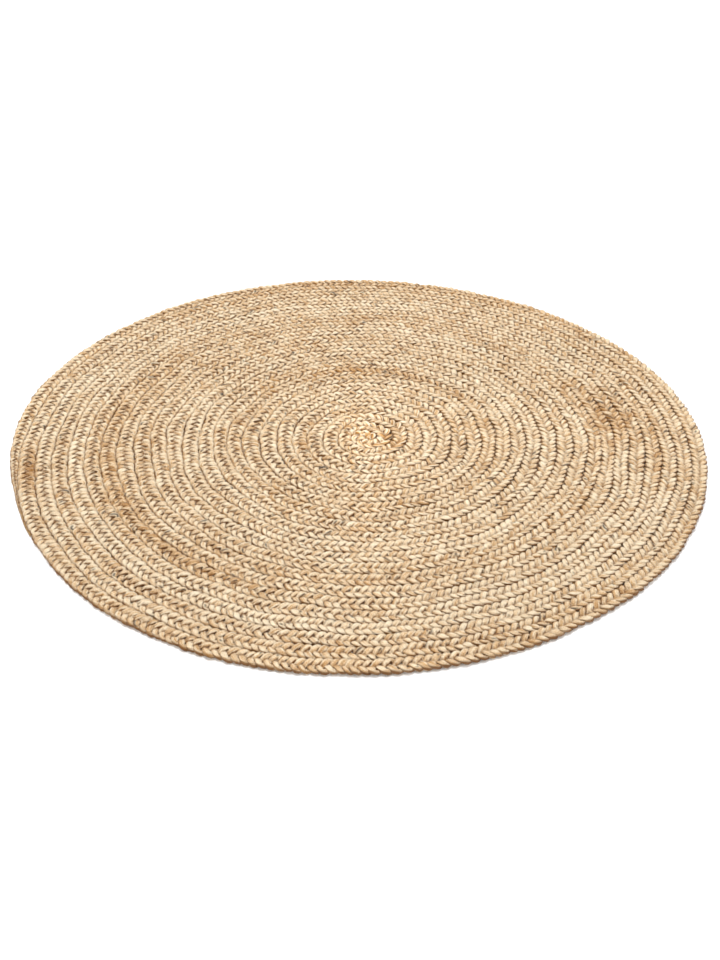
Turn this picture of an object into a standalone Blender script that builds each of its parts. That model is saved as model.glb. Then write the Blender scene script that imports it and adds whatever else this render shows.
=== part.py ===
"""Round area rug: one flat three-strand jute braid laid edge to edge in a spiral.

The braid starts as a tight curl at the middle and runs outwards anticlockwise, seen from
above. Each turn of it is one piece here. A lacing cord lies in the groove between every two
turns, and the last stretch narrows to a tail that is sewn to the rim.
Metres, +Z up, origin under the middle of the rug at floor level.
"""

import math

import bmesh
import bpy
from mathutils import Vector

# Driving dimensions
RUG_DIAMETER = 1.20
BRAID_PITCH = 0.0266  # from the edge of one turn to the edge of the next
BRAID_THICKNESS = 0.010
SHOULDER_WIDTH = 0.0035  # how far each rounded side of the braid leans in, top and bottom
LACING_DIAMETER = 0.0024
TAIL_LENGTH = 0.45  # the stretch over which the braid narrows to its tip
TAIL_TIP_WIDTH = 0.006
TAIL_TIP_ANGLE = math.radians(208)  # where the tip lies on the rim, from +X
FIT_GAP = 0.0003

# The rug is coiled by hand, so it isn't quite round and its middle is a little off centre
CENTRE_DRIFT = 0.021
RIM_WAVES = (  # lobes round the rim, height as a share of the radius, direction of a crest
    (1, 0.012, math.radians(-82)),
    (3, 0.0065, math.radians(7)),
)

STEPS_PER_TURN = 32
FULL_TURN = 2 * math.pi
RUG_RADIUS = RUG_DIAMETER / 2

# The full-width braid ends where the rim, half a braid wide of it on average, is reached
BRAID_END = FULL_TURN * (RUG_RADIUS / BRAID_PITCH - 0.5)
TAIL_END = BRAID_END + TAIL_LENGTH / RUG_RADIUS
WHOLE_TURNS = math.floor(BRAID_END / FULL_TURN)
START_ANGLE = TAIL_TIP_ANGLE - TAIL_END

JUTE = (0.637, 0.468, 0.290)
JUTE_GOLD = (0.615, 0.418, 0.230)
LACING_TWINE = (0.545, 0.402, 0.258)
JUTE_ROUGHNESS = 0.88


def inner_edge(phi):
    """Radius of the braid's inner edge once it has turned through phi."""
    return BRAID_PITCH * phi / FULL_TURN


def lay(radius, phi, height, along=0.0):
    """A point of the even spiral, moved to where the hand-coiled rug has it.

    along moves the point on round the rug, square to the radius.
    """
    angle = START_ANGLE + phi
    share = (radius / RUG_RADIUS) ** 2
    waves = sum(size * math.cos(lobes * (angle - crest)) for lobes, size, crest in RIM_WAVES)
    stretched = radius * (1 + share * waves)
    x = stretched * math.cos(angle) + CENTRE_DRIFT * (1 - share) - along * math.sin(angle)
    y = stretched * math.sin(angle) + along * math.cos(angle)
    return Vector((x, y, height))


def stations(first, last):
    """Angles from first to last on the steps that every turn shares, with both ends.

    Neighbouring turns have their corners at the same angles, so the gap between them is even.
    """
    step = FULL_TURN / STEPS_PER_TURN
    between = range(math.floor(first / step) + 1, math.ceil(last / step))
    middle = [i * step for i in between if step / 4 < i * step - first and step / 4 < last - i * step]
    return [first, *middle, last]


def end_shifts(count):
    """How far each station moves along the braid: the ends draw back from the next piece."""
    return [FIT_GAP / 2] + [0.0] * (count - 2) + [-FIT_GAP / 2]


def jute_material(name, colour):
    material = bpy.data.materials.new(name)
    material.use_nodes = True
    shader = material.node_tree.nodes["Principled BSDF"]
    shader.inputs["Base Color"].default_value = (*colour, 1)
    shader.inputs["Roughness"].default_value = JUTE_ROUGHNESS
    shader.inputs["Metallic"].default_value = 0
    return material


def add_piece(name, mesh, colour, rug):
    """An object from a finished bmesh, with its faces out and its flat bands kept crisp."""
    bmesh.ops.remove_doubles(mesh, verts=mesh.verts, dist=FIT_GAP / 100)
    bmesh.ops.recalc_face_normals(mesh, faces=mesh.faces)
    data = bpy.data.meshes.new(name)
    mesh.to_mesh(data)
    mesh.free()
    data.shade_smooth()
    data.set_sharp_from_angle(angle=math.radians(30))
    data.materials.append(jute_material(name, colour))
    piece = bpy.data.objects.new(name, data)
    piece.parent = rug
    bpy.context.scene.collection.objects.link(piece)
    return piece


def swept(sections):
    """A closed skin through a row of sections, which all list their points the same way round."""
    mesh = bmesh.new()
    rings = [[mesh.verts.new(point) for point in section] for section in sections]
    for near, far in zip(rings, rings[1:]):
        for i, corner in enumerate(near):
            after = (i + 1) % len(near)
            mesh.faces.new((corner, near[after], far[after], far[i]))
    mesh.faces.new(rings[0][::-1])
    mesh.faces.new(rings[-1])
    return mesh


def braid_section(phi, width, along):
    """The flat, round-shouldered section of the braid, from its inner edge outwards."""
    inner = inner_edge(phi) + FIT_GAP / 2
    outer = inner + width - FIT_GAP
    # the groove for the lacing keeps its shape down to the narrow tail, whose free side is steeper
    laced = min(SHOULDER_WIDTH, 0.65 * (outer - inner))
    free = min(SHOULDER_WIDTH, 0.3 * (outer - inner))
    half = BRAID_THICKNESS / 2
    corners = (
        (inner, half),
        (inner + laced, 0),
        (outer - free, 0),
        (outer, half),
        (outer - free, BRAID_THICKNESS),
        (inner + laced, BRAID_THICKNESS),
    )
    return [lay(radius, phi, height, along) for radius, height in corners]


def braid_turn(number, rug):
    """One turn of the braid, from straight over the start to straight over it again."""
    angles = stations(FULL_TURN * (number - 1), FULL_TURN * number)
    shifts = end_shifts(len(angles))
    sections = [braid_section(phi, BRAID_PITCH, along) for phi, along in zip(angles, shifts)]
    colour = JUTE_GOLD if number % 4 == 0 else JUTE
    add_piece(f"braid_turn_{number:02d}", swept(sections), colour, rug)


def tail_end(rug):
    """What is left after the last whole turn: any full-width length, then the narrowing tail."""
    angles = stations(FULL_TURN * WHOLE_TURNS, TAIL_END)
    sections = []
    for phi, along in zip(angles, end_shifts(len(angles))):
        left = min((TAIL_END - phi) / (TAIL_END - BRAID_END), 1)
        ease = left * left * (3 - 2 * left)
        width = TAIL_TIP_WIDTH + (BRAID_PITCH - TAIL_TIP_WIDTH) * ease
        sections.append(braid_section(phi, width, along))
    add_piece("tail_end", swept(sections), JUTE, rug)


def start_curl(rug):
    """The first end of the braid, curled on itself into a snail that fills the first turn."""
    opening = FULL_TURN / 6  # the curl starts this far round, where it has some width
    angles = stations(opening - FULL_TURN, 0)
    sections = []
    for phi in angles:
        along = -FIT_GAP / 2 if phi == 0 else 0
        outer = BRAID_PITCH + inner_edge(phi) - FIT_GAP / 2
        shoulder = min(SHOULDER_WIDTH, 0.4 * outer)
        rim = (
            (outer - shoulder, 0),
            (outer, BRAID_THICKNESS / 2),
            (outer - shoulder, BRAID_THICKNESS),
        )
        axis = [lay(0, 0, height, -FIT_GAP / 2) for height in (0, BRAID_THICKNESS)]
        middle = [lay(radius, phi, height, along) for radius, height in rim]
        sections.append([axis[0], *middle, axis[1]])
    add_piece("start_curl", swept(sections), JUTE_GOLD, rug)


def lacing_height():
    """Height at which the round cord would touch both walls of the lower groove, less a gap."""
    lean = SHOULDER_WIDTH / (BRAID_THICKNESS / 2)
    clear = LACING_DIAMETER / 2 + FIT_GAP
    below_edge = (clear * math.hypot(1, lean) - FIT_GAP / 2) / lean
    return BRAID_THICKNESS / 2 - below_edge


def lacing(number, rug):
    """The cord in the groove outside one turn, which sews that turn to the next."""
    first = FULL_TURN * (number - 1)
    last = min(first + FULL_TURN, TAIL_END - FULL_TURN)
    radius, height = LACING_DIAMETER / 2, lacing_height()
    around = ((-radius, 0), (0, -radius), (radius, 0), (0, radius))
    angles = stations(first, last)
    sections = []
    for phi, along in zip(angles, end_shifts(len(angles))):
        seam = inner_edge(phi) + BRAID_PITCH
        sections.append([lay(seam + out, phi, height + up, along) for out, up in around])
    add_piece(f"lacing_{number:02d}", swept(sections), LACING_TWINE, rug)


def centre_on_origin(rug):
    """Moves the rug so that the middle of its outline stands over the origin."""
    points = [vertex.co for piece in rug.children for vertex in piece.data.vertices]
    middle = [(min(p[axis] for p in points) + max(p[axis] for p in points)) / 2 for axis in (0, 1)]
    rug.location = (-middle[0], -middle[1], 0)


def build_rug():
    for old in list(bpy.data.objects):
        bpy.data.objects.remove(old, do_unlink=True)
    rug = bpy.data.objects.new("area_rug", None)
    bpy.context.scene.collection.objects.link(rug)
    start_curl(rug)
    for number in range(1, WHOLE_TURNS + 1):
        braid_turn(number, rug)
    tail_end(rug)
    for number in range(1, WHOLE_TURNS + 1):
        lacing(number, rug)
    centre_on_origin(rug)
    bpy.context.view_layer.update()


build_rug()
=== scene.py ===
import math

import bpy
import numpy as np
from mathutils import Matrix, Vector


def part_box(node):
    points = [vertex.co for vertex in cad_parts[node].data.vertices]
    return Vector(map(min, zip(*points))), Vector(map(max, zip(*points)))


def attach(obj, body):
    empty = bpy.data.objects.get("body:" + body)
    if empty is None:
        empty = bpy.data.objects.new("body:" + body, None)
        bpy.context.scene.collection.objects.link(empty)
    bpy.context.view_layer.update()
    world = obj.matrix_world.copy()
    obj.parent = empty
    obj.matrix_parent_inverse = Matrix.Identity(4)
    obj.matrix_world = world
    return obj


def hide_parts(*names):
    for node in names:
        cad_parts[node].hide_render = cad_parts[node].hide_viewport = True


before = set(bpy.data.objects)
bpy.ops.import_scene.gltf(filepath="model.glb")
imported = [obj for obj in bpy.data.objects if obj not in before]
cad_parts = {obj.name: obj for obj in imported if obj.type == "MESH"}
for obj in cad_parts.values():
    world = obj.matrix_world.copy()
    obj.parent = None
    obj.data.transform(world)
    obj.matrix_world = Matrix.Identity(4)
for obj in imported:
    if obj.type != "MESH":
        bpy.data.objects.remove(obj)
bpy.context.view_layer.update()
fullTurn = 2 * math.pi


def hexLinear(code):
    # sRGB hex to the linear colour that Blender works in
    parts = [int(code[i:i + 2], 16) / 255 for i in (1, 3, 5)]
    return [c / 12.92 if c <= 0.04045 else ((c + 0.055) / 1.055) ** 2.4 for c in parts] + [1.0]


def addNode(tree, kind, settings=None, links=None):
    # one node: settings by attribute, socket name or socket number, and sockets linked into it
    node = tree.nodes.new(kind)
    for name, value in (settings or {}).items():
        if isinstance(name, str) and hasattr(node, name):
            setattr(node, name, value)
        else:
            node.inputs[name].default_value = value
    for name, socket in (links or {}).items():
        tree.links.new(socket, node.inputs[name])
    return node


def pickOnly(piece):
    bpy.ops.object.select_all(action="DESELECT")
    piece.select_set(True)
    bpy.context.view_layer.objects.active = piece


def wander(x, step, seed):
    # smooth noise from -1 to 1 along a line, with a new value every step
    values = np.random.default_rng(seed).uniform(-1, 1, 4096)
    at = np.asarray(x, float) / step
    low = np.floor(at).astype(int)
    share = at - low
    share = share * share * (3 - 2 * share)
    return values[low % len(values)] * (1 - share) + values[(low + 1) % len(values)] * share


def sideNoise(x, step, seed, sides):
    # a separate wander for each side of a strand
    return np.stack([wander(x, step, seed + side) for side in range(sides)], 1)


def smoothStep(x, low=0.0, high=1.0):
    # 0 at low, 1 at high, and eased between them, whichever of the two is larger
    x = np.clip((np.asarray(x, float) - low) / (high - low), 0, 1)
    return x * x * (3 - 2 * x)


# the braid's course, as one long spiral
rug = {
    "radius": 0.60,
    "pitch": 0.0266,  # braid width, edge to edge
    "thickness": 0.010,
    "tailLength": 0.45,
    "tailTip": 0.001,  # tucked away to nothing
    "tailAngle": math.radians(208),
    "drift": 0.021,  # the coil's middle is off the outline's
    "waves": [(1, 0.012, math.radians(-82)), (3, 0.0065, math.radians(7))],
    "turns": 22,
    "startTurns": 0.8,  # the braid's folded beginning, inside the first turn
    "handShift": 0.0020,  # how far the turns wander from the even spiral
    "shiftWaves": 8,
    "shiftLength": (0.06, 0.22),
    "rimHold": 0.75,  # the rim was trued up last, so it loses this much of the wander
    "tableSteps": 1440,  # entries to a turn in the table of the course
    "frameSteps": 32,  # corners to a turn on the frame's solids
    "fitGap": 0.0003,  # between two turns of the frame's solids
}
plait = {
    "period": 0.0384,  # along the braid, from one crossing of a strand to its next
    "stepsPerPeriod": 16,
    "sideSwing": 0.0102,
    "sharpTurn": 0.06,  # straight diagonals with a quick turn at the edge
    "heightSwing": 0.0021,
    "unevenSide": (0.0009, 0.014),  # hand plaiting: how far and over what length a strand strays
    "unevenHeight": [(0.0006, 0.012), (0.0003, 0.11)],
    "unevenFullness": [(0.14, 0.011), (0.09, 0.05)],  # share of the width, and over what length
    "unevenLobe": [(0.10, 0.09), (0.09, 0.03)],
    "strandWidth": 0.0098,
    "strandHeight": 0.0052,
    "flatTop": 0.90,  # handle length of the section, 0.55 is round
    "edgeLift": 0.0009,  # packed against the next turn, the edges ride up
    "edgeTall": 0.60,  # a strand stands up where it turns back at the braid's edge
    "edgeSlim": 0.06,
    "bead": 0.09,  # fuller on top of the braid, pinched where it turns back or dives
    "ridge": 0.24,  # bundles of fibres that stand out along the strand
    "ridgeLength": 0.009,
    "walkedTop": 0.0101,
    "pressedBottom": 0.0002,
    "flattening": 0.0008,  # how near to either the strands begin to flatten
    "fibreRun": 1.3,  # a strand's own length for each length of the braid
    "girth": 0.026,  # once round a strand
    "strands": "abc",
    "sides": 12,
}
pitch = rug["pitch"]
braidEnd = fullTurn * (rug["radius"] / pitch - 0.5)
tailEnd = braidEnd + rug["tailLength"] / rug["radius"]
startAngle = rug["tailAngle"] - tailEnd


def layOut(radius, phi):
    # the even spiral, moved to where the hand-coiled rug has it
    angle = startAngle + phi
    share = (radius / rug["radius"]) ** 2
    waves = sum(size * np.cos(lobes * (angle - crest)) for lobes, size, crest in rug["waves"])
    stretched = radius * (1 + share * waves)
    x = stretched * np.cos(angle) + rug["drift"] * (1 - share)
    return x, stretched * np.sin(angle)


def handShift(x, y):
    # slow sideways wander of neighbouring turns together
    rng = np.random.default_rng(5)
    out = np.zeros((2,) + np.shape(x))
    for _ in range(rug["shiftWaves"]):
        turn, length = rng.uniform(0, fullTurn), rng.uniform(*rug["shiftLength"])
        wave = (x * np.cos(turn) + y * np.sin(turn)) * fullTurn / length
        out[0] += np.sin(wave + rng.uniform(0, fullTurn))
        out[1] += np.sin(wave + rng.uniform(0, fullTurn))
    nearRim = (np.hypot(x, y) / rug["radius"]) ** 8
    return out * rug["handShift"] / 2 * (1 - rug["rimHold"] * nearRim)


def coilTable():
    # along the whole braid: angle, inner edge, width, length and plait phase
    phi = np.arange(-rug["startTurns"] * fullTurn, tailEnd, fullTurn / rug["tableSteps"])
    inner = np.maximum(pitch * phi / fullTurn, 0)
    left = smoothStep((tailEnd - phi) / (tailEnd - braidEnd))
    width = np.where(phi < 0, pitch * (1 + phi / fullTurn), pitch)
    width = np.where(phi > braidEnd, rug["tailTip"] + (pitch - rug["tailTip"]) * left, width)
    length = np.concatenate([[0], np.cumsum((inner + width / 2)[1:] * np.diff(phi))])
    lobe = plait["period"] * (width / pitch) ** 0.7
    (slow, slowLength), (quick, quickLength) = plait["unevenLobe"]
    lobe = lobe * (1 + slow * wander(length, slowLength, 1) + quick * wander(length, quickLength, 2))
    phase = np.concatenate([[0], np.cumsum(fullTurn / lobe[1:] * np.diff(length))])
    return {"phi": phi, "inner": inner, "width": width, "length": length, "phase": phase}


coil = coilTable()

# the coil's place: the largest turn's box in the frame against the same box from the course
steps = fullTurn * (rug["turns"] - 1 + np.arange(rug["frameSteps"] + 1) / rug["frameSteps"])
edgeX, edgeY = layOut(pitch * (steps / fullTurn + 1) - rug["fitGap"] / 2, steps)
lowest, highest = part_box("braid_turn_%02d" % rug["turns"])
centreShift = ((lowest.x + highest.x - edgeX.min() - edgeX.max()) / 2,
               (lowest.y + highest.y - edgeY.min() - edgeY.max()) / 2)
print("coil centre shift, mm:", [round(v * 1000, 2) for v in centreShift])


def onRug(radius, phi):
    x, y = layOut(radius, phi)
    dx, dy = handShift(x, y)
    return x + dx + centreShift[0], y + dy + centreShift[1]


jute = {
    "pale": "#fcebcc",
    "straw": "#ebc590",
    "golden": "#d59b52",
    "brown": "#9c6a30",
    "bark": "#2b2014",
    # painted shade, for the creases between the strands
    "gap": "#7a4a0e",
    "roughness": 0.86,
    "fibreTurn": math.radians(14),  # slight twist that the bundle keeps
    "grains": [
        # real fibres are 0.1 mm: drawn in clumps so that they show
        {"longMm": 10, "wideMm": 0.5, "detail": 2.0, "contrast": 1.6},
        # bundles of fibres side by side in a strand
        {"longMm": 11, "wideMm": 3.8, "detail": 1.0, "contrast": 4.6},
    ],
}
# a strand's shade runs from 0, pale, to 1, brown: where it starts, and how far each thing moves it
shades = {
    "base": 0.265,
    "batch": (0.13, 0.6),  # all three strands of a length, and over what length
    "bundle": (0.07, 0.9),  # one strand's spliced bundles
    "slow": (0.09, 0.13),
    "quick": (0.09, 0.016),
    "top": 0.10,  # painted highlight, paler on the strands' crowns
    "ridge": 0.46,  # painted highlight on the bundles that stand out, painted shade between them
}
# painted shade down between the strands: how dark it gets, and the places where that starts and is
# fullest
depths = {
    "flank": (0.80, 0.86, 1.0),  # places as shares of the strand's half width
    "dive": (0.25, 0.45, 0.10),  # of the rug's half thickness, up or down from its middle
    "middle": (0.72, 0.09, 0),  # of the braid's width, out from its middle line
    "seam": (0.50, 0.43, 0.495),
}
depthLimit = 0.95
depthUneven = (0.5, 0.008)  # as a share, and over what length
# bark flecks: how long they are, the noise at which one starts and is full, and the lift in a patch
flecks = {"length": 0.008, "from": (0.87, 0.93), "inPatches": 0.25}

# places where a darker or more golden length was plaited in: share of the radius, degrees on the rug
patches = [
    {"radius": 0.72, "angle": 215, "across": 0.035, "along": 38, "tone": 0.38},
    {"radius": 0.77, "angle": 8, "across": 0.055, "along": 11, "tone": 0.52},
    {"radius": 0.88, "angle": 355, "across": 0.02, "along": 16, "tone": 0.34},
    {"radius": 0.145, "angle": 190, "across": 0.016, "along": 120, "tone": 0.42},
    {"radius": 0.11, "angle": 4, "across": 0.035, "along": 20, "tone": 0.34},
    {"radius": 0.94, "angle": 190, "across": 0.02, "along": 6, "tone": 0.70},
    {"radius": 0.93, "angle": 285, "across": 0.02, "along": 30, "tone": 0.30},
    {"radius": 0.46, "angle": 255, "across": 0.02, "along": 60, "tone": 0.22},
    {"radius": 0.40, "angle": 95, "across": 0.025, "along": 35, "tone": 0.30},
    {"radius": 0.97, "angle": 80, "across": 0.03, "along": 50, "tone": 0.20},
]

# knots where strands were joined
knots = [
    {"radius": 0.985, "angle": 151.5, "reach": 0.012, "size": 0.28},
    {"radius": 0.94, "angle": 190, "reach": 0.016, "size": 0.22},
    {"radius": 0.62, "angle": 320, "reach": 0.014, "size": 0.18},
]


def patchTone(x, y):
    share = np.hypot(x, y) / rug["radius"]
    angle = np.degrees(np.arctan2(y, x))
    tone = np.zeros(np.shape(x))
    for patch in patches:
        turned = (angle - patch["angle"] + 180) % 360 - 180
        tone += patch["tone"] * np.exp(-((share - patch["radius"]) / patch["across"]) ** 2
                                       - (turned / patch["along"]) ** 2)
    return tone


def knotSize(x, y):
    size = np.ones(np.shape(x))
    for knot in knots:
        turn = math.radians(knot["angle"])
        far = np.hypot(x - knot["radius"] * rug["radius"] * math.cos(turn),
                       y - knot["radius"] * rug["radius"] * math.sin(turn))
        size += knot["size"] * np.exp(-(far / knot["reach"]) ** 2)
    return size


def naturalJute():
    # undyed jute, combed and loosely twisted: dry and matt, streaked along its fibres, barky in places
    material = bpy.data.materials.new("natural jute strand")
    material.use_nodes = True
    tree = material.node_tree
    shader = tree.nodes["Principled BSDF"]
    strandMap = addNode(tree, "ShaderNodeUVMap", {"uv_map": "strandMap"})
    toned = addNode(tree, "ShaderNodeAttribute", {"attribute_name": "tone"})
    deep = addNode(tree, "ShaderNodeAttribute", {"attribute_name": "gap"})
    bark = addNode(tree, "ShaderNodeAttribute", {"attribute_name": "bark"})
    turned = addNode(tree, "ShaderNodeMapping", {"Rotation": (0, 0, jute["fibreTurn"])},
                     {"Vector": strandMap.outputs[0]})

    # noise drawn out along the strand and centred on zero, once for its fibres and once for streaks
    grains = []
    for grain in jute["grains"]:
        cells = (1000 / grain["longMm"], 1000 / grain["wideMm"], 1)
        place = addNode(tree, "ShaderNodeMapping", {"Scale": cells}, {"Vector": turned.outputs[0]})
        noise = addNode(tree, "ShaderNodeTexNoise",
                        {"Scale": 1.0, "Detail": grain["detail"], "Roughness": 0.55},
                        {"Vector": place.outputs[0]})
        centred = addNode(tree, "ShaderNodeMath",
                          {"operation": "MULTIPLY_ADD", 1: grain["contrast"], 2: -grain["contrast"] / 2},
                          {0: noise.outputs["Fac"]})
        grains.append(centred.outputs[0])
    # the bundle's own shade, moved to either side by its streaks and fibres
    both = addNode(tree, "ShaderNodeMath", {"operation": "ADD"}, {0: grains[1], 1: grains[0]})
    shade = addNode(tree, "ShaderNodeMath", {"operation": "ADD"},
                    {0: both.outputs[0], 1: toned.outputs["Fac"]})
    ramp = addNode(tree, "ShaderNodeValToRGB", links={"Fac": shade.outputs[0]})
    stops = [(0.05, "pale"), (0.38, "straw"), (0.68, "golden"), (0.98, "brown")]
    while len(ramp.color_ramp.elements) < len(stops):
        ramp.color_ramp.elements.new(0.5)
    for element, (place, name) in zip(ramp.color_ramp.elements, stops):
        element.position = place
        element.color = hexLinear(jute[name])
    # bark left on the fibre: rare, short, dark flecks
    barked = addNode(tree, "ShaderNodeMix", {"data_type": "RGBA", 7: hexLinear(jute["bark"])},
                     {0: bark.outputs["Fac"], 6: ramp.outputs[0]})
    # painted shade down between the strands, where the braid's creases fall into shadow
    shaded = addNode(tree, "ShaderNodeMix", {"data_type": "RGBA", 7: hexLinear(jute["gap"])},
                     {0: deep.outputs["Fac"], 6: barked.outputs[2]})
    tree.links.new(shaded.outputs[2], shader.inputs["Base Color"])
    bump = addNode(tree, "ShaderNodeBump", {"Strength": 0.7, "Distance": 0.0005},
                   {"Height": both.outputs[0]})
    tree.links.new(bump.outputs[0], shader.inputs["Normal"])
    shader.inputs["Roughness"].default_value = jute["roughness"]
    shader.inputs["IOR"].default_value = 1.5
    shader.inputs["Specular IOR Level"].default_value = 0.3
    shader.inputs["Sheen Weight"].default_value = 0.12
    shader.inputs["Sheen Roughness"].default_value = 0.5
    return material


juteFinish = naturalJute()


def sectionCurve(width, height, sides, flatTop=0.55):
    # the section that a strand is swept with: a circle made wide, its top and bottom broader
    bpy.ops.object.select_all(action="DESELECT")
    bpy.ops.curve.primitive_bezier_circle_add(radius=1)
    section = bpy.context.object
    section.data.resolution_u = sides // 4
    for point in section.data.splines[0].bezier_points:
        point.handle_left_type = point.handle_right_type = "FREE"
        if abs(point.co.y) > 0.5:
            point.handle_left.x = math.copysign(flatTop, point.handle_left.x)
            point.handle_right.x = math.copysign(flatTop, point.handle_right.x)
    section.scale = (width / 2, height / 2, 1)
    bpy.ops.object.transform_apply(location=False, rotation=False, scale=True)
    return section


profile = sectionCurve(plait["strandWidth"], plait["strandHeight"], plait["sides"], plait["flatTop"])
stepAngle = fullTurn / plait["stepsPerPeriod"]
stepCount = int(coil["phase"][-1] / stepAngle)
stepPhase = np.arange(stepCount) * stepAngle
stepPhi = np.interp(stepPhase, coil["phase"], coil["phi"])


def strandCourse(number, first, last):
    # one strand between two steps of the plait: centre line, fullness, swing and length along the braid
    phi = stepPhi[first:last]
    inner, width, length = [np.interp(phi, coil["phi"], coil[k]) for k in ("inner", "width", "length")]
    share = width / pitch
    swing = stepPhase[first:last] + fullTurn * number / len(plait["strands"])
    turn = plait["sharpTurn"]
    side = plait["sideSwing"] * share * (np.sin(swing) - turn * np.sin(3 * swing)) / (1 + turn)
    stray, strayLength = plait["unevenSide"]
    side = side + stray * share * wander(length, strayLength, 10 + number)
    (quick, quickLength), (slow, slowLength) = plait["unevenFullness"]
    full = 1 + quick * wander(length, quickLength, 40 + number)
    full = share ** 0.6 * (full + slow * wander(length, slowLength, 50 + number))
    high = rug["thickness"] / 2 * (0.4 + 0.6 * share)  # the thinner tail lies lower
    lift = plait["heightSwing"] * share ** 0.6 * np.sin(2 * swing)
    lift = lift + plait["edgeLift"] * share * np.sin(swing) ** 4
    (quick, quickLength), (slow, slowLength) = plait["unevenHeight"]
    lift = lift + quick * wander(length, quickLength, 20 + number)
    lift = lift + slow * wander(length, slowLength, 30)
    x, y = onRug(inner + width / 2 + side, phi)
    full = full * knotSize(x, y) * (1 - plait["bead"] * np.cos(4 * swing))
    return np.stack([x, y, high + lift], 1), full, swing, length, side, width, phi


def strandTone(length, number):
    # bundles spliced end to end, each with its own shade, and slower and quicker changes along them
    tone = shades["base"]
    seeds = {"bundle": 60 + number, "slow": 70 + number, "quick": 80 + number, "batch": 66}
    for name, seed in seeds.items():
        size, step = shades[name]
        change = wander(length, step, seed)
        if name == "bundle":
            change = np.round(change * 3) / 3  # a splice is a clear change
        tone = tone + size * change
    return tone


def sweep(name, points, radii, section):
    # a tube along points, as a mesh
    data = bpy.data.curves.new(name, "CURVE")
    data.dimensions = "3D"
    spline = data.splines.new("POLY")
    spline.points.add(len(points) - 1)
    spline.points.foreach_set("co", np.column_stack([points, np.ones(len(points))]).ravel())
    spline.points.foreach_set("radius", radii)
    data.bevel_mode = "OBJECT"
    data.bevel_object = section
    data.use_fill_caps = True
    data.twist_mode = "Z_UP"
    piece = bpy.data.objects.new(name, data)
    bpy.context.scene.collection.objects.link(piece)
    pickOnly(piece)
    bpy.ops.object.convert(target="MESH")
    piece.data.name = name
    return piece


def ringOrder(count, sides):
    # the point that each vertex belongs to: first the end cap's, then the start cap's, then the rings'
    rings = np.repeat(np.arange(count), sides)
    return np.concatenate([np.full(sides, count - 1), np.zeros(sides, int), rings])


def weld(piece, finish):
    # caps joined to their tubes, faces out, smooth, and one material
    pickOnly(piece)
    bpy.ops.object.mode_set(mode="EDIT")
    bpy.ops.mesh.select_all(action="SELECT")
    bpy.ops.mesh.remove_doubles(threshold=0.000001)
    bpy.ops.mesh.normals_make_consistent(inside=False)
    bpy.ops.object.mode_set(mode="OBJECT")
    bpy.ops.object.shade_smooth()
    piece.data.materials.clear()
    piece.data.materials.append(finish)


def finishStrand(piece, length, sides, around, setApart, finish):
    # a map for baking, a map in metres for the grain, and the weld
    mesh = piece.data
    count = len(length)
    bakeRows(mesh, ringOrder(count, sides), sides, count, length[-1] - length[0])
    uvs = np.zeros(len(mesh.loops) * 2)
    mesh.uv_layers[0].data.foreach_get("uv", uvs)
    uvs = uvs.reshape(-1, 2)
    along = np.interp(uvs[:, 1] * (count - 1), np.arange(count), length)
    uvs = np.column_stack([along, uvs[:, 0] * around + setApart])
    mesh.uv_layers[0].data.foreach_set("uv", uvs.ravel())
    mesh.uv_layers[0].name = "strandMap"
    weld(piece, finish)


bakeMap = {
    "girth": 0.028,  # room for a strand and a little beside it
    "rowEnd": 0.004,  # kept clear at both ends of a row
    "rowSide": 0.04,  # and at both its sides, as a share of its width
    "capStrip": 0.03,  # along the bottom of the square
    "capPlace": 0.013,
    "capApart": 0.03,
    "capRadius": 0.010,
}


def bakeRows(mesh, along, sides, count, strandLength):
    # a second map for baking: the strand cut into rows that fill the square, its two ends in a corner
    rowCount = max(1, round(math.sqrt(strandLength / bakeMap["girth"])))
    perRow = math.ceil((count - 1) / rowCount)
    rowCount = math.ceil((count - 1) / perRow)
    corner = np.zeros(len(mesh.loops), int)
    mesh.loops.foreach_get("vertex_index", corner)
    size = np.zeros(len(mesh.polygons), int)
    mesh.polygons.foreach_get("loop_total", size)
    start = np.zeros(len(mesh.polygons), int)
    mesh.polygons.foreach_get("loop_start", start)
    face = np.repeat(np.arange(len(size)), size)
    around = np.zeros(len(mesh.loops) * 2)
    mesh.uv_layers[0].data.foreach_get("uv", around)
    around = around.reshape(-1, 2)[:, 0]
    ring = along[corner]
    segment = np.minimum.reduceat(ring, start)[face]
    row = segment // perRow
    end, side, strip = bakeMap["rowEnd"], bakeMap["rowSide"], bakeMap["capStrip"]
    u = end + (1 - 2 * end) * (ring - row * perRow) / perRow
    v = strip + (1 - strip) * (row + side + (1 - 2 * side) * around) / rowCount
    cap = corner < 2 * sides
    turn = (corner % sides) / sides * fullTurn
    capU = bakeMap["capPlace"] + bakeMap["capApart"] * (corner < sides)
    u = np.where(cap, capU + bakeMap["capRadius"] * np.cos(turn), u)
    v = np.where(cap, bakeMap["capPlace"] + bakeMap["capRadius"] * np.sin(turn), v)
    layer = mesh.uv_layers.new(name="OFBake")
    layer.data.foreach_set("uv", np.column_stack([u, v]).ravel())


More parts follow.
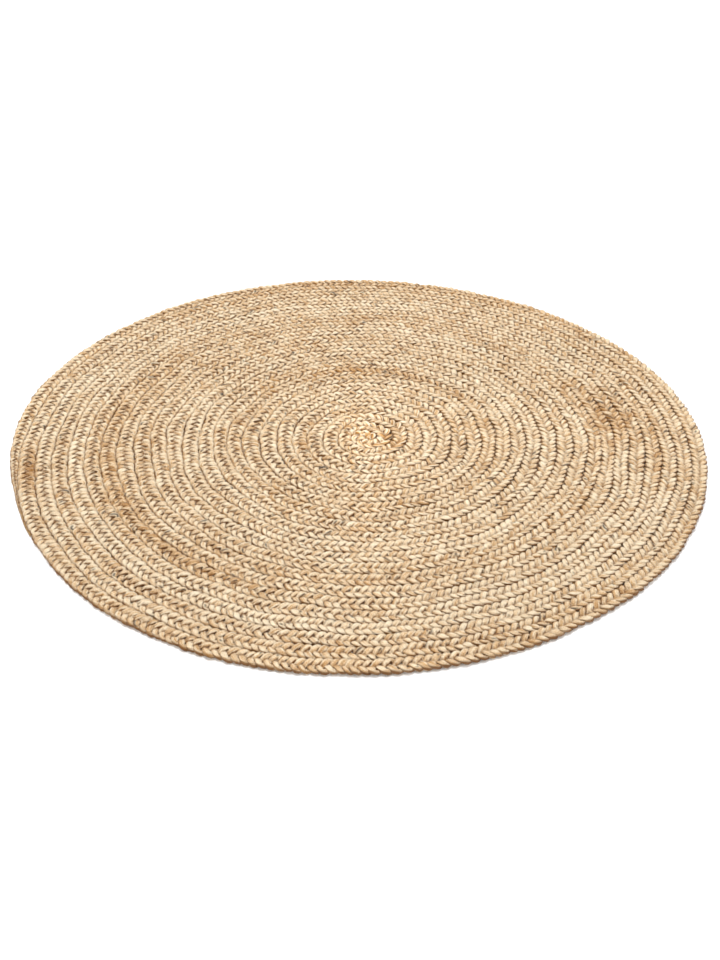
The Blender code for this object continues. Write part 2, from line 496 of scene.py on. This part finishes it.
def plaitStrand(number, part, first, last):
    points, full, swing, length, side, width, phi = strandCourse(number, first, last)
    piece = sweep(f"strand_{plait['strands'][number]}_{part}", points, full, profile)
    mesh = piece.data
    sides, count = plait["sides"], len(points)
    co = np.zeros(len(mesh.vertices) * 3)
    mesh.vertices.foreach_get("co", co)
    co = co.reshape(-1, 3)
    rings = co[2 * sides:].reshape(count, sides, 3)
    capTwin = []
    for cap, ring in ((co[:sides], rings[-1]), (co[sides:2 * sides], rings[0])):
        capTwin.append(np.linalg.norm(cap[:, None] - ring[None], axis=2).argmin(1))
    # the strand stands up at the braid's edge, and its bundles of fibres make ridges along it
    off = rings - points[:, None]
    across = np.linalg.norm(off[:, :, :2], axis=2)
    lateral = across / np.maximum(across.max(1, keepdims=True), 1e-9)
    edge = np.sin(swing) ** 4
    ridges = sideNoise(length, plait["ridgeLength"], 200 + 12 * number, sides)
    off[:, :, :2] *= (1 - plait["edgeSlim"] * edge)[:, None, None]
    off[:, :, 2] *= (1 + plait["edgeTall"] * edge)[:, None]
    off *= (1 + plait["ridge"] * ridges)[:, :, None]
    rings[:] = points[:, None] + off
    # walked flat on top, and pressed flat on the floor
    top, low, soft = plait["walkedTop"], plait["pressedBottom"], plait["flattening"]
    z = rings[:, :, 2]
    z = np.where(z > top - soft, top - soft * np.exp(-(z - top + soft) / soft), z)
    rings[:, :, 2] = np.where(z < low + soft, low + soft * np.exp((z - low - soft) / soft), z)
    co[2 * sides:] = rings.reshape(-1, 3)
    co[:sides] = rings[-1][capTwin[0]]
    co[sides:2 * sides] = rings[0][capTwin[1]]
    mesh.vertices.foreach_set("co", co.ravel())
    # how deep each point lies, for the painted shade: on the strand's flanks, and in the braid's middle
    # line and seams
    height = np.abs(rings[:, :, 2] / rug["thickness"] * 2 - 1)
    outward = np.stack([np.cos(startAngle + phi), np.sin(startAngle + phi)], 1)
    place = np.abs(side[:, None] + (off[:, :, :2] * outward[:, None]).sum(2)) / width[:, None]
    # painted shade: darker on the flanks, where a strand dives, and along the braid's middle line and
    # seams
    gap = 0
    for name, at in (("flank", lateral), ("dive", height), ("middle", place), ("seam", place)):
        dark, starts, fullest = depths[name]
        gap = gap + dark * smoothStep(at, starts, fullest)
    patchy = 1 + depthUneven[0] * wander(length, depthUneven[1], 90 + number)
    gap = np.clip(gap * patchy[:, None], 0, depthLimit)
    patched = patchTone(points[:, 0], points[:, 1])
    tone = (strandTone(length, number) + patched)[:, None]
    # painted highlight on the strands' crowns and ridges, painted shade in the hollows between ridges
    tone = tone - shades["top"] * smoothStep(height, 0.6, 1.0) - shades["ridge"] * ridges
    # short flecks of bark, thicker where the darker lengths are
    bark = sideNoise(length, flecks["length"], 400 + 12 * number, sides)
    bark = smoothStep(bark + flecks["inPatches"] * patched[:, None], *flecks["from"])
    for label, values in (("tone", tone), ("gap", gap), ("bark", bark)):
        values = np.concatenate([values[-1], values[0], values.ravel()])
        attribute = mesh.attributes.new(label, "FLOAT", "POINT")
        attribute.data.foreach_set("value", values.astype(np.float32))
    # the strands' grain is read from places far apart, so that no two are alike
    finishStrand(piece, length * plait["fibreRun"], sides, plait["girth"], 0.4 * number, juteFinish)
    return piece


# each strand is cut where the frame's turns are, with one step shared by neighbours
turnEnds = fullTurn * np.arange(rug["turns"] + 1)
cuts = [0, *(int(cut) for cut in np.searchsorted(stepPhi, turnEnds)), stepCount]
parts = ["start", *("turn_%02d" % (n + 1) for n in range(rug["turns"])), "tail"]
cadNames = ["start_curl", *("braid_turn_%02d" % (n + 1) for n in range(rug["turns"])), "tail_end"]
total = 0
for part, cadName, first, last in zip(parts, cadNames, cuts[:-1], cuts[1:]):
    for number in range(len(plait["strands"])):
        piece = plaitStrand(number, part, first, min(last + 1, stepCount))
        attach(piece, "root")
        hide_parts(cadName)
        total += 2 * len(piece.data.polygons)
print("strands plaited, about", total, "triangles")
bpy.data.objects.remove(profile)

lacing = {
    "diameter": 0.0022,
    "sides": 8,
    "swing": 0.0031,  # to either side of the seam
    "height": 0.0048,
    "lift": 0.0012,
    "stitch": 0.0090,
    "stepsPerStitch": 4,
    "pale": "#c39c66",
    # painted shade, for the grooves between the plies
    "dark": "#7c5729",
    "twistMm": 4.5,  # one turn of the twine's two plies
}


def lacingTwine():
    # two-ply jute twine, harder spun and darker than the braid: slanting plies, with painted shade as a
    # dark line in the groove between them
    material = bpy.data.materials.new("two-ply jute twine")
    material.use_nodes = True
    tree = material.node_tree
    shader = tree.nodes["Principled BSDF"]
    strandMap = addNode(tree, "ShaderNodeUVMap", {"uv_map": "strandMap"})
    twist = (1000 / lacing["twistMm"], 2 / (math.pi * lacing["diameter"]), 1)
    place = addNode(tree, "ShaderNodeMapping", {"Scale": twist}, {"Vector": strandMap.outputs[0]})
    plies = addNode(tree, "ShaderNodeTexWave",
                    {"bands_direction": "DIAGONAL", "Scale": 0.31, "Distortion": 1.2, "Detail": 2.0},
                    {"Vector": place.outputs[0]})
    # painted shade: the ramp's dark end lies in the grooves between the plies
    ramp = addNode(tree, "ShaderNodeValToRGB", links={"Fac": plies.outputs["Fac"]})
    ramp.color_ramp.elements[0].color = hexLinear(lacing["dark"])
    ramp.color_ramp.elements[1].color = hexLinear(lacing["pale"])
    ramp.color_ramp.elements[1].position = 0.55
    tree.links.new(ramp.outputs[0], shader.inputs["Base Color"])
    bump = addNode(tree, "ShaderNodeBump", {"Strength": 0.8, "Distance": 0.0004},
                   {"Height": plies.outputs["Fac"]})
    tree.links.new(bump.outputs[0], shader.inputs["Normal"])
    shader.inputs["Roughness"].default_value = 0.82
    shader.inputs["Specular IOR Level"].default_value = 0.3
    return material


twineFinish = lacingTwine()
profile = sectionCurve(lacing["diameter"], lacing["diameter"], lacing["sides"])
for turn in range(rug["turns"]):
    # zigzag from one turn's edge to the next one's
    lastPhi = min(fullTurn * (turn + 1), tailEnd - fullTurn)
    startLength, endLength = np.interp([fullTurn * turn, lastPhi], coil["phi"], coil["length"])
    seamLength = (endLength - startLength) * (turn + 1) / (turn + 0.5)
    count = max(int(seamLength / lacing["stitch"] * lacing["stepsPerStitch"]), 8)
    phi = np.linspace(fullTurn * turn, lastPhi, count)
    swing = np.arange(count) * fullTurn / 2 / lacing["stepsPerStitch"]
    # held to the tail's width where that narrows
    reach = lacing["swing"] * np.interp(phi + fullTurn, coil["phi"], coil["width"]) / pitch
    x, y = onRug(pitch * (phi / fullTurn + 1) + reach * np.sin(swing), phi)
    z = lacing["height"] + lacing["lift"] * np.cos(2 * swing)
    points = np.stack([x, y, z], 1)
    piece = sweep("lacing_stitches_%02d" % (turn + 1), points, np.ones(count), profile)
    length = np.concatenate([[0], np.cumsum(np.linalg.norm(np.diff(points, axis=0), axis=1))])
    finishStrand(piece, length, lacing["sides"], math.pi * lacing["diameter"], 0, twineFinish)
    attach(piece, "root")
    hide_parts("lacing_%02d" % (turn + 1))
bpy.data.objects.remove(profile)
print("lacing sewn")

stray = {
    "count": 1500,
    "bundles": 6,
    "lengthMm": (9, 30),
    "radiusMm": (0.12, 0.30),
    "points": 6,
    "heading": 0.7,  # how far they lie from the braid's own direction, mostly
    "curve": 0.9,
    "sunk": 0.0007,  # their ends, in the braid's top
    "rise": (0.0003, 0.0016),
    "freeEnd": 0.0022,  # how far a free end stands up
    "freeShare": 0.35,
    "thinning": 0.6,
    "pale": "#f4e6cc",
    "dark": "#c89a5e",
    "shades": 70,  # changes from pale to dark to a metre of rug
}


def looseFibre():
    # fibres that have worked loose: thin, pale and a little glossier than the strands
    material = bpy.data.materials.new("loose jute fibre")
    material.use_nodes = True
    tree = material.node_tree
    shader = tree.nodes["Principled BSDF"]
    spot = addNode(tree, "ShaderNodeTexCoord")
    noise = addNode(tree, "ShaderNodeTexNoise", {"Scale": stray["shades"], "Detail": 1.0},
                    {"Vector": spot.outputs["Object"]})
    ramp = addNode(tree, "ShaderNodeValToRGB", links={"Fac": noise.outputs["Fac"]})
    ramp.color_ramp.elements[0].color = hexLinear(stray["pale"])
    ramp.color_ramp.elements[0].position = 0.40
    ramp.color_ramp.elements[1].color = hexLinear(stray["dark"])
    ramp.color_ramp.elements[1].position = 0.68
    tree.links.new(ramp.outputs[0], shader.inputs["Base Color"])
    shader.inputs["Roughness"].default_value = 0.6
    shader.inputs["Specular IOR Level"].default_value = 0.4
    return material


def strayBundle(number, finish):
    # short loose fibres that lie on the braid in low arcs, most of them along it
    rng = np.random.default_rng(300 + number)
    data = bpy.data.curves.new("stray_fibres", "CURVE")
    data.dimensions = "3D"
    along = np.linspace(0, 1, stray["points"])
    for _ in range(stray["count"] // stray["bundles"]):
        phi = fullTurn * rug["turns"] * math.sqrt(rng.uniform(0.0004, 1))
        radius = pitch * (phi / fullTurn + rng.uniform(0.1, 0.9))
        reach = rng.uniform(*stray["lengthMm"]) / 1000
        x, y = onRug(np.array(radius), np.array(phi))
        heading = startAngle + phi + math.pi / 2 + rng.normal(0, stray["heading"])
        bend = heading + rng.normal(0, stray["curve"]) * (along - 0.5)
        step = reach / (stray["points"] - 1)
        px = x + np.cumsum(np.cos(bend)) * step
        py = y + np.cumsum(np.sin(bend)) * step
        rise = rng.uniform(*stray["rise"])
        free = rng.uniform(0, stray["freeEnd"]) * (rng.uniform() < stray["freeShare"])
        pz = rug["thickness"] - stray["sunk"] + rise * np.sin(math.pi * along) + free * along ** 2
        spline = data.splines.new("POLY")
        spline.points.add(stray["points"] - 1)
        spline.points.foreach_set("co", np.column_stack([px, py, pz, np.ones(len(px))]).ravel())
        thick = rng.uniform(*stray["radiusMm"]) / 1000
        spline.points.foreach_set("radius", thick * (1 - stray["thinning"] * along))
    data.bevel_depth = 1.0
    data.bevel_resolution = 0
    data.use_fill_caps = True
    name = "stray_fibres_%d" % (number + 1)
    piece = bpy.data.objects.new(name, data)
    bpy.context.scene.collection.objects.link(piece)
    pickOnly(piece)
    bpy.ops.object.convert(target="MESH")
    piece.data.name = name
    weld(piece, finish)
    return piece


fibreFinish = looseFibre()
for number in range(stray["bundles"]):
    piece = strayBundle(number, fibreFinish)
    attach(piece, "root")
print("stray fibres laid")

room = {
    "floorSize": 30,
    "floorLevel": -0.0002,
    "floorColour": "#fbfbfb",
    "skyStrength": 1.05,  # bright all round, so that shadows stay faint
    "keyFrom": (-0.45, 0.35, 2.6),
    "keyStrength": 1.60,
    "keySoftness": math.radians(24),
}


def studio():
    bpy.ops.object.select_all(action="DESELECT")
    bpy.ops.mesh.primitive_plane_add(size=room["floorSize"], location=(0, 0, room["floorLevel"]))
    floor = bpy.context.object
    floor.name = "studio_floor"
    # matt white: it shows only the rug's own faint shadow
    paint = bpy.data.materials.new("white studio paint")
    paint.use_nodes = True
    shader = paint.node_tree.nodes["Principled BSDF"]
    shader.inputs["Base Color"].default_value = hexLinear(room["floorColour"])
    shader.inputs["Roughness"].default_value = 0.9
    floor.data.materials.append(paint)
    world = bpy.data.worlds.new("studio")
    bpy.context.scene.world = world
    world.use_nodes = True
    sky = world.node_tree.nodes["Background"]
    sky.inputs["Color"].default_value = (1, 1, 1, 1)
    sky.inputs["Strength"].default_value = room["skyStrength"]
    # one broad, soft key light, the same all over the floor
    lamp = bpy.data.lights.new("key_light", "SUN")
    lamp.energy = room["keyStrength"]
    lamp.angle = room["keySoftness"]
    key = bpy.data.objects.new("key_light", lamp)
    key.location = room["keyFrom"]
    key.rotation_euler = Vector(room["keyFrom"]).to_track_quat("Z", "Y").to_euler()
    bpy.context.scene.collection.objects.link(key)


view = {
    "lens": 52.35,
    "sensor": 36,
    "place": (-0.0017, -2.048, 1.3625),
    "aim": (0.0056, -0.1185, 0),
}


def camera():
    lens = bpy.data.cameras.new("camera")
    lens.lens = view["lens"]
    lens.sensor_fit = "AUTO"
    lens.sensor_width = view["sensor"]
    eye = bpy.data.objects.new("camera", lens)
    eye.location = view["place"]
    eye.rotation_euler = (Vector(view["aim"]) - eye.location).to_track_quat("-Z", "Y").to_euler()
    bpy.context.scene.collection.objects.link(eye)
    bpy.context.scene.camera = eye


studio()
camera()
bpy.context.scene.view_settings.view_transform = "Standard"
print("studio lit")
